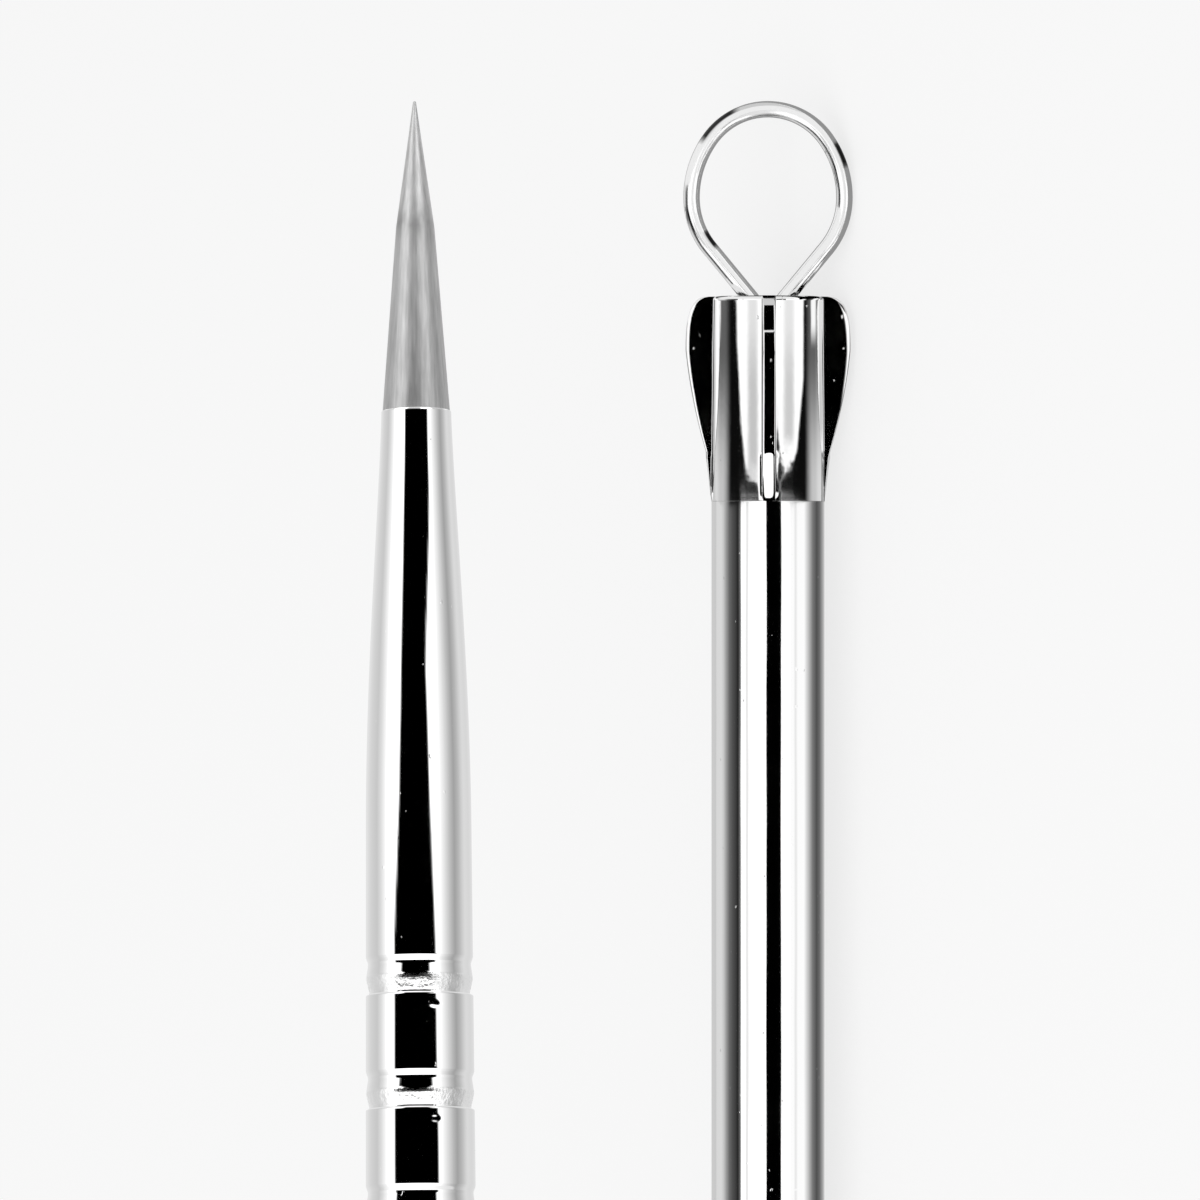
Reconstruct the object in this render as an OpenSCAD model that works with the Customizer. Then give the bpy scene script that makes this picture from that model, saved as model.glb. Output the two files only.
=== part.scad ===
// Double-ended blackhead extractor.
// A ground needle stands out of a swaged front barrel with rolled grip rings.
// A plain rear tube follows, and its end holds a ferrule with four fins.
// A round wire, bent to a pear-shaped loop, is pressed into the ferrule's core.
// Each piece is drawn upright, needle tip at zero and loop on top, and then laid down.
// The tool lies on two of its fins, with the loop towards +X.

/* [Needle] */
// Length of needle in front of the barrel's mouth
needle_out = 13.2; // [10:0.2:16]
// Diameter of the blunted tip
tip_d = 0.12; // [0.08:0.02:0.3]
// Length of the ground point
point_l = 5.4; // [4:0.2:7]
// Diameter where the ground point ends and the cone starts
point_d = 1.62; // [1.3:0.02:1.9]
// Step from the mouth's edge down to the cone's wide end
shoulder_step = 0.05; // [0.02:0.01:0.1]
// Diameter of the shank that runs into the bush
shank_d = 1.6; // [1.2:0.1:1.8]

/* [Handle] */
// Outer diameter of the rear tube
handle_d = 4.8; // [4.5:0.05:5.3]
// Outer diameter at the front of the grip
grip_d = 4.44; // [4.2:0.02:4.7]
// Outer diameter of the barrel's mouth
mouth_d = 2.94; // [2.7:0.02:3.4]
// Wall of both tubes
tube_wall = 0.3; // [0.25:0.01:0.35]
// Length of the front barrel
barrel_l = 57; // [56:1:70]
// Length of its swaged nose
nose_l = 18.4; // [15:0.1:19.5]
// Length of the rear tube
rear_l = 33; // [28:1:60]
// Break on the edges where tubes meet
edge_break = 0.06; // [0.02:0.01:0.1]

/* [Grip rings] */
// Number of rolled rings
ring_count = 7; // [2:1:7]
// Distance from the nose's end to the middle of the first ring
ring_lead = 5.5; // [3:0.1:6]
// Distance between the middles of two rings
ring_pitch = 4.8; // [3:0.1:5]
// Width of a ring over its two grooves
ring_w = 1.6; // [1.2:0.1:2]
// Width of one groove
groove_w = 0.55; // [0.4:0.05:0.6]
// Depth of one groove
groove_deep = 0.1; // [0.04:0.01:0.14]

/* [Hidden slugs] */
// Length of the bush that holds the needle
bush_l = 10; // [6:0.5:14]
// Distance from the mouth to the bush
bush_inset = 0.3; // [0.2:0.05:0.6]
// Length of the spigot that joins the two tubes
spigot_l = 12; // [8:1:16]
// Gap between a pressed piece and its seat
fit_gap = 0.01; // [0.005:0.005:0.02]

/* [Finned ferrule] */
// Length of the head above the rear tube
head_l = 8.7; // [8:0.1:10]
// Diameter of the body between the fins
body_d = 4.24; // [4.1:0.02:4.6]
// Width from fin tip to fin tip
fin_d = 7; // [6.4:0.1:8]
// Thickness of a fin
fin_t = 0.55; // [0.4:0.05:0.8]
// Width over the fins at the top face
crown_d = 4.7; // [4.6:0.1:6]
// Length of the fins' rounded top
crown_l = 2.3; // [1.5:0.1:3]
// Height above the rear tube where a fin starts to rise faster
knee_h = 2.15; // [1:0.05:3]
// Width over the fins at that height
knee_d = 5.24; // [4.9:0.02:5.6]
// Length of the taper from the rear tube to the body
run_out_l = 1.7; // [1:0.1:3]
// Radius of the body's top edge
top_round = 0.3; // [0.1:0.05:0.4]
// Length of the ferrule's shank inside the rear tube
tail_l = 6; // [4:0.5:8]

/* [Core and wire loop] */
// Diameter of the core that grips the wire
core_d = 3; // [2.6:0.1:3.2]
// Length of the core
core_l = 9; // [8:0.5:10]
// Distance from the ferrule's top face down to the core
core_sink = 0.7; // [0.3:0.1:1]
// Diameter of the wire
wire_d = 0.7; // [0.5:0.05:0.8]
// Overall width of the loop
loop_w = 7.2; // [6.4:0.1:8]
// Radius of the loop's sides above its widest place
side_r = 4.3; // [3.9:0.1:5]
// Radius of the loop's sides below its widest place
low_r = 3.4; // [3:0.1:4]
// Angle between a leg and the tool's axis
leg_angle = 39.5; // [36:0.5:44]
// Distance between the middles of the two legs in the core
leg_pitch = 1; // [0.9:0.05:1.2]
// Radius of the bend where a leg turns into the core
bend_r = 1; // [0.8:0.1:1.2]
// Length of a leg inside the core
leg_l = 7; // [5:0.5:7.5]

/* [Hidden] */

$fn = 96;
// Sides of the wire's round section, and steps along its bends, sides and top
wire_sides = 20;
bend_steps = 6;
side_steps = 7;
top_steps = 22;
// Angle by which the side arcs stop short of the places that their neighbours share
arc_skip = 2.5;
// Steps along the nose and a fin's rounded top
nose_steps = 24;
crown_steps = 10;
// Power that sets how fast the nose swells
nose_power = 1.25;
// Power of a fin's rounded top: 2 is an ellipse, more is squarer
crown_power = 3.2;
// Angle of the loop's side arcs, above which the top arc takes over
side_angle = 35;
// Clearance under the ends of the wire
leg_clear = 0.3;
// How far a fin is sunk into the body
fin_root = 0.4;

handle_r = handle_d / 2;
grip_r = grip_d / 2;
mouth_r = mouth_d / 2;
body_r = body_d / 2;
fin_r = fin_d / 2;
crown_r = crown_d / 2;
knee_r = knee_d / 2;

// Heights along the upright tool
mouth_z = needle_out;
join_z = mouth_z + barrel_l;
foot_z = join_z + rear_l;
top_z = foot_z + head_l;
core_z = top_z - core_sink;

cone_r = mouth_r - shoulder_step;
shank_l = bush_inset + bush_l;
// The grip reaches the rear tube's diameter where the spigot starts
taper_end = barrel_l - spigot_l / 2;
seat_r = handle_r - tube_wall;
groove_r = groove_w * groove_w / (8 * groove_deep) + groove_deep / 2;
// Height on the head where a fin is widest
fin_peak = head_l - crown_l;

// The wire's own line, in the plane of the loop
half_w = (loop_w - wire_d) / 2;
leg_x = leg_pitch / 2;
top_r = side_r - (side_r - half_w) / cos(side_angle);
leg_top_x = half_w - low_r * (1 - cos(leg_angle));
leg_low_x = leg_x + bend_r * (1 - cos(leg_angle));
leg_low_z = core_z + bend_r * sin(leg_angle);
leg_top_z = leg_low_z + (leg_top_x - leg_low_x) / tan(leg_angle);
wide_z = leg_top_z + low_r * sin(leg_angle);
arch_z = wide_z + (side_r - top_r) * sin(side_angle);
total_l = arch_z + top_r + wire_d / 2;

// Height of the axis when the tool lies on the corners of two fins
lie_angle = 45;
axis_h = (fin_r + fin_t / 2) * sin(lie_angle);

function nose_radius(s) = mouth_r + (grip_r - mouth_r) * pow(sin(90 * s / nose_l), nose_power);
function grip_radius(s) = grip_r + (handle_r - grip_r) * (s - nose_l) / (taper_end - nose_l);
function barrel_radius(s) =
    s <= nose_l ? nose_radius(s) : s < taper_end ? grip_radius(s) : handle_r;
function crown_radius(part) =
    crown_r + (fin_r - crown_r) * pow(1 - pow(part, crown_power), 1 / crown_power);

// Lays an upright piece down along X, with its middle over the origin
module laid() {
    translate([-total_l / 2, 0, axis_h]) rotate([-lie_angle, 0, 0]) rotate([0, 90, 0]) children();
}

module needle() {
    color("silver") laid() rotate_extrude() polygon([
        [0, 0],
        [tip_d / 2, tip_d / 4],
        [point_d / 2, point_l],
        [cone_r, mouth_z],
        [shank_d / 2, mouth_z],
        [shank_d / 2, mouth_z + shank_l],
        [0, mouth_z + shank_l]
    ]);
}

// The bush follows the inside of the nose and holds the needle's shank
module needle_bush() {
    steps = [for (i = [0:nose_steps]) bush_inset + bush_l * i / nose_steps];
    bore_r = shank_d / 2 + fit_gap;
    color("darkgoldenrod") laid() translate([0, 0, mouth_z]) rotate_extrude() polygon(concat(
        [[bore_r, bush_inset]],
        [for (s = steps) [barrel_radius(s) - tube_wall - fit_gap, s]],
        [[bore_r, bush_inset + bush_l]]
    ));
}

// One ring: two shallow round grooves with a bead left between them
module ring_cut(s) {
    for (side = [-1, 1]) {
        at = s + side * (ring_w - groove_w) / 2;
        translate([barrel_radius(at) + groove_r - groove_deep, at]) circle(r = groove_r, $fn = 48);
    }
}

module front_barrel() {
    nose = [for (i = [1:nose_steps]) nose_l * i / nose_steps];
    outer = concat(
        [[mouth_r - edge_break, 0], [mouth_r, edge_break]],
        [for (s = nose) [nose_radius(s), s]],
        [[handle_r, taper_end], [handle_r, barrel_l - edge_break], [handle_r - edge_break, barrel_l]]
    );
    inner = concat(
        [[seat_r, barrel_l], [seat_r, taper_end]],
        [for (i = [0:nose_steps]) let (s = nose_l * (1 - i / nose_steps)) [nose_radius(s) - tube_wall, s]]
    );
    color("gainsboro") laid() translate([0, 0, mouth_z]) rotate_extrude() difference() {
        polygon(concat(outer, inner));
        for (i = [0:ring_count - 1]) ring_cut(nose_l + ring_lead + i * ring_pitch);
    }
}

// The spigot lies half in each tube
module joint_spigot() {
    color("darkgoldenrod") laid() translate([0, 0, join_z - spigot_l / 2])
        cylinder(h = spigot_l, r = seat_r - fit_gap);
}

module rear_tube() {
    color("gainsboro") laid() translate([0, 0, join_z]) rotate_extrude() polygon([
        [handle_r - edge_break, 0],
        [handle_r, edge_break],
        [handle_r, rear_l - edge_break],
        [handle_r - edge_break, rear_l],
        [seat_r, rear_l],
        [seat_r, 0]
    ]);
}

// A flat fin: it leaves the tube's edge, rises to its widest and rounds over to the top
module fin() {
    crown = [for (i = [0:crown_steps]) let (part = sin(90 * i / crown_steps))
        [crown_radius(part), fin_peak + crown_l * part]];
    rotate([90, 0, 0]) linear_extrude(fin_t, center = true) polygon(concat(
        [[body_r - fin_root, edge_break], [handle_r - edge_break, edge_break], [knee_r, knee_h]],
        crown,
        [[body_r - fin_root, head_l]]
    ));
}

// The body tapers from the tube's edge and carries four fins and a shank
module loop_ferrule() {
    color("silver") laid() translate([0, 0, foot_z]) difference() {
        union() {
            rotate_extrude() polygon([
                [0, -tail_l],
                [seat_r - fit_gap, -tail_l],
                [seat_r - fit_gap, 0],
                [handle_r - edge_break, 0],
                [handle_r, edge_break],
                [body_r, run_out_l],
                [body_r, head_l - top_round],
                [body_r - top_round, head_l],
                [0, head_l]
            ]);
            for (turn = [0:90:270]) rotate([0, 0, turn]) fin();
        }
        translate([0, 0, head_l - core_sink - core_l]) cylinder(h = core_sink + core_l + 1, d = core_d);
    }
}

// The core fills the ferrule's bore and takes both legs of the wire
module loop_core() {
    color("darkgray") laid() translate([0, 0, core_z - core_l]) difference() {
        cylinder(h = core_l, r = core_d / 2 - fit_gap);
        for (side = [-1, 1]) translate([side * leg_x, 0, core_l - leg_l - leg_clear])
            cylinder(h = leg_l + leg_clear + 1, d = wire_d + 2 * fit_gap);
    }
}

// Places [x, z, direction] along an arc; turn is 1 against the clock and -1 with it
function arc_places(x, z, r, from, to, steps) = [for (i = [0:steps])
    let (a = from + (to - from) * i / steps, turn = to > from ? 1 : -1)
    [x + r * cos(a), z + r * sin(a), a + 90 * turn]];

// Places along the wire, from the foot of the right leg to the foot of the left one
function wire_places() = concat(
    [[leg_x, core_z - leg_l, 90]],
    arc_places(leg_x + bend_r, core_z, bend_r, 180, 180 - leg_angle, bend_steps),
    arc_places(half_w - low_r, wide_z, low_r, -leg_angle, 0, side_steps),
    arc_places(half_w - side_r, wide_z, side_r, arc_skip, side_angle - arc_skip, side_steps),
    arc_places(0, arch_z, top_r, side_angle, 180 - side_angle, top_steps),
    arc_places(side_r - half_w, wide_z, side_r, 180 - side_angle + arc_skip, 180 - arc_skip, side_steps),
    arc_places(low_r - half_w, wide_z, low_r, 180, 180 + leg_angle, side_steps),
    arc_places(-leg_x - bend_r, core_z, bend_r, leg_angle, 0, bend_steps),
    [[-leg_x, core_z - leg_l, -90]]
);

// The wire's round section at one place, square to the wire
function wire_ring(place) = [for (k = [0:wire_sides - 1])
    let (q = 360 * k / wire_sides, out = wire_d / 2 * cos(q))
    [place[0] + out * sin(place[2]), wire_d / 2 * sin(q), place[1] - out * cos(place[2])]];

module wire_loop() {
    places = wire_places();
    last = (len(places) - 1) * wire_sides;
    points = [for (place = places) each wire_ring(place)];
    sides = [for (i = [0:len(places) - 2], k = [0:wire_sides - 1])
        let (a = i * wire_sides + k, b = i * wire_sides + (k + 1) % wire_sides)
        each [[a, b, a + wire_sides], [b, b + wire_sides, a + wire_sides]]];
    foot = [for (k = [wire_sides - 1:-1:0]) k];
    end = [for (k = [0:wire_sides - 1]) last + k];
    color("silver") laid() polyhedron(points, concat([foot], sides, [end]));
}

needle();
needle_bush();
front_barrel();
joint_spigot();
rear_tube();
loop_ferrule();
loop_core();
wire_loop();
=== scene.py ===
# The blackhead extractor, dressed for its photograph.
# Each piece is drawn upright in millimetres, needle tip at zero, and then laid along the frame's X axis.
import math

import bpy
from mathutils import Matrix, Vector


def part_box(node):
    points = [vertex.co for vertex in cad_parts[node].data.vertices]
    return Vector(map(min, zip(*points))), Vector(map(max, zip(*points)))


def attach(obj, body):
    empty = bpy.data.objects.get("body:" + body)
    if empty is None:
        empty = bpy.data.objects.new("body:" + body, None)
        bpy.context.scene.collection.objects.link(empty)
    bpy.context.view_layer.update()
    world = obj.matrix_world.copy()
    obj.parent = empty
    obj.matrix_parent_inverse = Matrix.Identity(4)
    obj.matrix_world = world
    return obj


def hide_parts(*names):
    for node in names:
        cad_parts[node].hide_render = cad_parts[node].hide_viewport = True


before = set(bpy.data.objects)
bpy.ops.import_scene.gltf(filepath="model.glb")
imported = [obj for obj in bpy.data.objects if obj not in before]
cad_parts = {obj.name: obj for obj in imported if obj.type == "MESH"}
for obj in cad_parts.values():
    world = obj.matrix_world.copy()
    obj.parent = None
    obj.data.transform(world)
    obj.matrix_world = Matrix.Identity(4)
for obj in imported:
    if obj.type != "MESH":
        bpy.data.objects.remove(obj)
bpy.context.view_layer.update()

# Needle
# The real piece is a hard steel pin, turned to a long cone and ground to a point on a fine wheel.
# It is satin grey, with lines from the wheel along it, and is pushed into the barrel's mouth.
MM = 0.001
needle_out = 13.2
tip_r = 0.06
tip_l = 0.03
point_l = 5.4
point_r = 0.81
cone_r = 1.42
shank_r = 0.8
shank_l = 10.3
tip_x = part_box("needle")[0][0]
barrel_low, barrel_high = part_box("front_barrel")
axis_z = (barrel_low[2] + barrel_high[2]) / 2
lean = math.sqrt(0.5)


def lay(x, y, z):
    """Turns a place on the upright tool into its place on the table, in metres."""
    return (tip_x + z * MM, (y - x) * lean * MM, axis_z - (x + y) * lean * MM)


def upright(place):
    """Turns a place on the table back into (x, y, z) on the upright tool, in millimetres."""
    back = place.y / lean / MM
    down = (axis_z - place.z) / lean / MM
    return (down - back) / 2, (down + back) / 2, (place.x - tip_x) / MM


def turned(name, outline, sides=160, closed=False):
    """A lathe-turned piece; outline is a list of (height, radius), and closed joins its two ends."""
    points = []
    rings = []
    for height, radius in outline:
        if radius < 1e-6:
            rings.append([len(points)])
            points.append(lay(0, 0, height))
            continue
        rings.append(list(range(len(points), len(points) + sides)))
        for k in range(sides):
            angle = math.tau * k / sides
            points.append(lay(radius * math.cos(angle), radius * math.sin(angle), height))
    faces = []
    pairs = list(zip(rings, rings[1:]))
    if closed:
        pairs.append((rings[-1], rings[0]))
    for low, high in pairs:
        for k in range(sides):
            after = (k + 1) % sides
            if len(low) == 1:
                faces.append((low[0], high[after], high[k]))
            elif len(high) == 1:
                faces.append((low[k], low[after], high[0]))
            else:
                faces.append((low[k], low[after], high[after], high[k]))
    return steel_piece(name, points, faces, 32)


def steel_piece(name, points, faces, crease):
    """A smooth-shaded mesh whose edges stay crisp where they turn by more than crease degrees."""
    mesh = bpy.data.meshes.new(name)
    mesh.from_pydata(points, [], faces)
    mesh.validate()
    mesh.shade_smooth()
    mesh.set_sharp_from_angle(angle=math.radians(crease))
    piece = bpy.data.objects.new(name, mesh)
    bpy.context.collection.objects.link(piece)
    return piece


def grain(nodes, links, place, scale, detail=3.0):
    """Noise in the piece's own coordinates, with scale = cells per metre along and across the tool."""
    stretch = nodes.new("ShaderNodeMapping")
    stretch.inputs["Scale"].default_value = (scale[0], scale[1], scale[1])
    links.new(place.outputs["Object"], stretch.inputs["Vector"])
    noise = nodes.new("ShaderNodeTexNoise")
    noise.inputs["Scale"].default_value = 1.0
    noise.inputs["Detail"].default_value = detail
    links.new(stretch.outputs["Vector"], noise.inputs["Vector"])
    return noise


def raised(nodes, links, height, depth, below=None):
    """A bump of the given depth in metres, laid over the bump below it."""
    bump = nodes.new("ShaderNodeBump")
    bump.inputs["Strength"].default_value = 1.0
    bump.inputs["Distance"].default_value = depth
    links.new(height, bump.inputs["Height"])
    if below is not None:
        links.new(below.outputs["Normal"], bump.inputs["Normal"])
    return bump


def spread(nodes, links, value, low, high, start=0.3, stop=0.7):
    """Maps noise between start and stop to the range from low to high."""
    spread_node = nodes.new("ShaderNodeMapRange")
    spread_node.inputs["From Min"].default_value = start
    spread_node.inputs["From Max"].default_value = stop
    spread_node.inputs["To Min"].default_value = low
    spread_node.inputs["To Max"].default_value = high
    links.new(value, spread_node.inputs["Value"])
    return spread_node


ground = bpy.data.materials.new("ground_steel")
ground.use_nodes = True
nodes = ground.node_tree.nodes
links = ground.node_tree.links
metal = nodes["Principled BSDF"]
metal.inputs["Metallic"].default_value = 1.0
place = nodes.new("ShaderNodeTexCoord")
wheel_lines = grain(nodes, links, place, (90, 9000), 4.0)
blotches = grain(nodes, links, place, (900, 1600), 2.0)
lines_tone = spread(nodes, links, wheel_lines.outputs["Fac"], 0.0, 1.0)
tone = nodes.new("ShaderNodeMix")
tone.data_type = "RGBA"
tone.inputs["A"].default_value = (0.42, 0.42, 0.42, 1)
tone.inputs["B"].default_value = (0.56, 0.56, 0.56, 1)
links.new(lines_tone.outputs["Result"], tone.inputs["Factor"])
# The colour is darker in a blotchy band near the ground point's end.
dark_band_mask = nodes.new("ShaderNodeAttribute")
dark_band_mask.attribute_name = "ground_end"
band_tone = nodes.new("ShaderNodeMix")
band_tone.data_type = "RGBA"
band_tone.inputs["B"].default_value = (0.30, 0.30, 0.30, 1)
patchy = nodes.new("ShaderNodeMath")
patchy.operation = "MULTIPLY"
band_patches = spread(nodes, links, blotches.outputs["Fac"], 0.1, 1.0)
links.new(dark_band_mask.outputs["Fac"], patchy.inputs[0])
links.new(band_patches.outputs["Result"], patchy.inputs[1])
links.new(patchy.outputs["Value"], band_tone.inputs["Factor"])
links.new(tone.outputs["Result"], band_tone.inputs["A"])
links.new(band_tone.outputs["Result"], metal.inputs["Base Color"])
satin = spread(nodes, links, blotches.outputs["Fac"], 0.42, 0.52)
links.new(satin.outputs["Result"], metal.inputs["Roughness"])
line_bump = raised(nodes, links, wheel_lines.outputs["Fac"], 0.000004)
links.new(line_bump.outputs["Normal"], metal.inputs["Normal"])

needle_outline = [(0, 0), (0.004, 0.02), (0.014, 0.036), (tip_l, tip_r)]
for step in range(1, 25):
    part = step / 24
    needle_outline.append((tip_l + (point_l - tip_l) * part, tip_r + (point_r - tip_r) * part))
for step in range(1, 13):
    part = step / 12
    needle_outline.append((point_l + (needle_out - point_l) * part, point_r + (cone_r - point_r) * part))
needle_outline += [(needle_out, shank_r), (needle_out + shank_l, shank_r), (needle_out + shank_l, 0)]
needle = turned("ground_needle", needle_outline)

# The needle's colour is darker in a blotchy band just below where the ground point ends.
band_below = 0.2
band_spread = 0.7
ground_end = needle.data.attributes.new("ground_end", "FLOAT", "POINT")
for index, vertex in enumerate(needle.data.vertices):
    height = upright(vertex.co)[2]
    ground_end.data[index].value = math.exp(-((height - point_l + band_below) / band_spread) ** 2)
needle.data.materials.append(ground)
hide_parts("needle")
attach(needle, "root")

# Needle bush, joint spigot
# Two turned brass slugs inside the tubes: one grips the needle's shank, one joins the two tubes.
# They are pressed in and never seen once the tool is closed.
brass = bpy.data.materials.new("turned_brass")
brass.use_nodes = True
nodes = brass.node_tree.nodes
links = brass.node_tree.links
metal = nodes["Principled BSDF"]
metal.inputs["Metallic"].default_value = 1.0
place = nodes.new("ShaderNodeTexCoord")
tool_marks = grain(nodes, links, place, (9000, 200))
brass_tone = nodes.new("ShaderNodeMix")
brass_tone.data_type = "RGBA"
brass_tone.inputs["A"].default_value = (0.50, 0.34, 0.13, 1)
brass_tone.inputs["B"].default_value = (0.68, 0.50, 0.22, 1)
links.new(tool_marks.outputs["Fac"], brass_tone.inputs["Factor"])
links.new(brass_tone.outputs["Result"], metal.inputs["Base Color"])
brass_satin = spread(nodes, links, tool_marks.outputs["Fac"], 0.25, 0.4)
links.new(brass_satin.outputs["Result"], metal.inputs["Roughness"])
for slug_name in ("needle_bush", "joint_spigot"):
    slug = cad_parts[slug_name]
    slug.data.materials.clear()
    slug.data.materials.append(brass)

# Front barrel
# A thin stainless tube, drawn down to the needle in a long swaged nose and polished like a mirror.
# Seven bands are rolled into its grip, and its rear edge meets the rear tube in a hairline.
mouth_z = needle_out
barrel_l = 57.0
nose_l = 18.4
nose_power = 1.25
mouth_r = 1.47
grip_r = 2.22
handle_r = 2.4
taper_end = 51.0
tube_wall = 0.3
mouth_edge = ((0.0, 0.05), (0.015, 0.015), (0.05, 0.0))
seam_edge = ((0.07, 0.0), (0.025, 0.015), (0.0, 0.06))
nose_start = 0.1
ring_count = 7
ring_lead = 5.5
ring_pitch = 4.8
ring_profile = (
    (-0.82, 0.0), (-0.72, 0.03), (-0.56, 0.09), (-0.46, 0.09), (0.02, 0.02),
    (0.14, 0.022), (0.68, 0.145), (0.74, 0.13), (0.8, 0.015), (0.84, 0.0),
)
band_middle = 0.34
band_half = 0.4
ring_middles = [nose_l + ring_lead + ring_pitch * i for i in range(ring_count)]
nick_away = 1.28
nick_turn = math.radians(16)
nick_half = 0.22
nick_wide = 0.38
nick_deep = 0.024


def barrel_radius(s):
    """Radius of the plain barrel at s millimetres from its mouth."""
    if s <= nose_l:
        return mouth_r + (grip_r - mouth_r) * math.sin(math.pi / 2 * s / nose_l) ** nose_power
    if s < taper_end:
        return grip_r + (handle_r - grip_r) * (s - nose_l) / (taper_end - nose_l)
    return handle_r


def ring_depth(s):
    """How deep the rolled bands go in at s: a soft groove, then a land that sinks towards the handle."""
    middle = min(ring_middles, key=lambda place: abs(place - s))
    away = s - middle
    for (a, deep_a), (b, deep_b) in zip(ring_profile, ring_profile[1:]):
        if a <= away < b:
            part = (away - a) / (b - a)
            return deep_a + (deep_b - deep_a) * part
    return 0.0


barrel_steps = [nose_start + (nose_l - nose_start) * i / 90 for i in range(91)]
for middle in ring_middles:
    barrel_steps += [middle + corner[0] for corner in ring_profile]
    barrel_steps += [middle - 0.95 + 1.95 * i / 52 for i in range(53)]
    barrel_steps += [middle + nick_away - nick_half + nick_half * i / 7 for i in range(15)]
    barrel_steps += [middle + 1.7 + 0.25 * i for i in range(9)]
barrel_steps += [taper_end - 0.8 + 1.6 * i / 8 for i in range(9)]
barrel_steps = sorted(set(round(s, 4) for s in barrel_steps))
barrel_outline = [(mouth_z + back, mouth_r - cut) for back, cut in mouth_edge]
barrel_outline += [(mouth_z + s, barrel_radius(s) - ring_depth(s)) for s in barrel_steps]
seam_z = mouth_z + barrel_l
barrel_outline += [(seam_z - back, handle_r - cut) for back, cut in seam_edge]
barrel_outline += [
    (seam_z, handle_r - tube_wall),
    (mouth_z + nose_l, grip_r - tube_wall),
    (mouth_z, mouth_r - tube_wall),
]
barrel = turned("front_barrel_shell", barrel_outline, sides=192, closed=True)

# A shallow nick beside each band, where the rolling wheel lifts, and a mask for the coarse rolled finish.
rolled = barrel.data.attributes.new("rolled", "FLOAT", "POINT")
for index, vertex in enumerate(barrel.data.vertices):
    x_up, y_up, height = upright(vertex.co)
    s = height - mouth_z
    middle = min(ring_middles, key=lambda place: abs(place - s))
    part = (s - middle - band_middle) / band_half
    rolled.data[index].value = max(0.0, 1 - part ** 4)
    along = s - middle - nick_away
    if abs(along) > nick_half:
        continue
    radius = math.hypot(x_up, y_up)
    if radius < barrel_radius(s) - 0.1:
        continue
    across = radius * (math.atan2(-x_up, -y_up) - nick_turn)
    away = math.hypot(along / nick_half, across / nick_wide)
    if away < 1:
        keep = 1 - nick_deep * math.cos(math.pi / 2 * away) ** 2 / radius
        vertex.co = lay(x_up * keep, y_up * keep, s + mouth_z)

polished = bpy.data.materials.new("polished_steel")
polished.use_nodes = True
nodes = polished.node_tree.nodes
links = polished.node_tree.links
metal = nodes["Principled BSDF"]
metal.inputs["Metallic"].default_value = 1.0
metal.inputs["Base Color"].default_value = (0.93, 0.93, 0.93, 1)
place = nodes.new("ShaderNodeTexCoord")
rub = grain(nodes, links, place, (60, 7000), 2.0)
sway = grain(nodes, links, place, (160, 800), 1.0)
haze = grain(nodes, links, place, (500, 500), 3.0)
pit_cells = grain(nodes, links, place, (2600, 4200), 1.0)
gloss = spread(nodes, links, haze.outputs["Fac"], 0.03, 0.07)
rub_bump = raised(nodes, links, rub.outputs["Fac"], 0.0000006)
sway_bump = raised(nodes, links, sway.outputs["Fac"], 0.00001, rub_bump)
pits = spread(nodes, links, pit_cells.outputs["Fac"], 0.0, 1.0, 0.76, 0.82)
pit_bump = raised(nodes, links, pits.outputs["Result"], 0.000006, sway_bump)
band_mask = nodes.new("ShaderNodeAttribute")
band_mask.attribute_name = "rolled"
coarse = grain(nodes, links, place, (4200, 4200), 3.0)
band_height = nodes.new("ShaderNodeMath")
band_height.operation = "MULTIPLY"
links.new(coarse.outputs["Fac"], band_height.inputs[0])
links.new(band_mask.outputs["Fac"], band_height.inputs[1])
band_bump = raised(nodes, links, band_height.outputs["Value"], 0.00004, pit_bump)
links.new(band_bump.outputs["Normal"], metal.inputs["Normal"])
band_gloss = nodes.new("ShaderNodeMath")
band_gloss.operation = "MULTIPLY_ADD"
band_gloss.inputs[1].default_value = 0.2
links.new(band_mask.outputs["Fac"], band_gloss.inputs[0])
links.new(gloss.outputs["Result"], band_gloss.inputs[2])
links.new(band_gloss.outputs["Value"], metal.inputs["Roughness"])

barrel.data.materials.append(polished)
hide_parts("front_barrel")
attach(barrel, "root")

# Rear tube
# A plain length of the same polished tube, pushed over the spigot at one end.
# The finned ferrule's tail goes into its other end.
rear_l = 33.0
foot_z = seam_z + rear_l
tube_outline = [(seam_z + back, handle_r - cut) for back, cut in reversed(seam_edge)]
tube_outline += [(seam_z + 0.07 + (rear_l - 0.1) * i / 40, handle_r) for i in range(1, 41)]
tube_outline += [
    (foot_z - 0.02, handle_r),
    (foot_z - 0.01, handle_r),
    (foot_z, handle_r - 0.01),
    (foot_z, handle_r - tube_wall),
    (seam_z, handle_r - tube_wall),
]
tube = turned("rear_tube_shell", tube_outline, sides=192, closed=True)
tube.data.materials.append(polished)
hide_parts("rear_tube")
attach(tube, "root")

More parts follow.
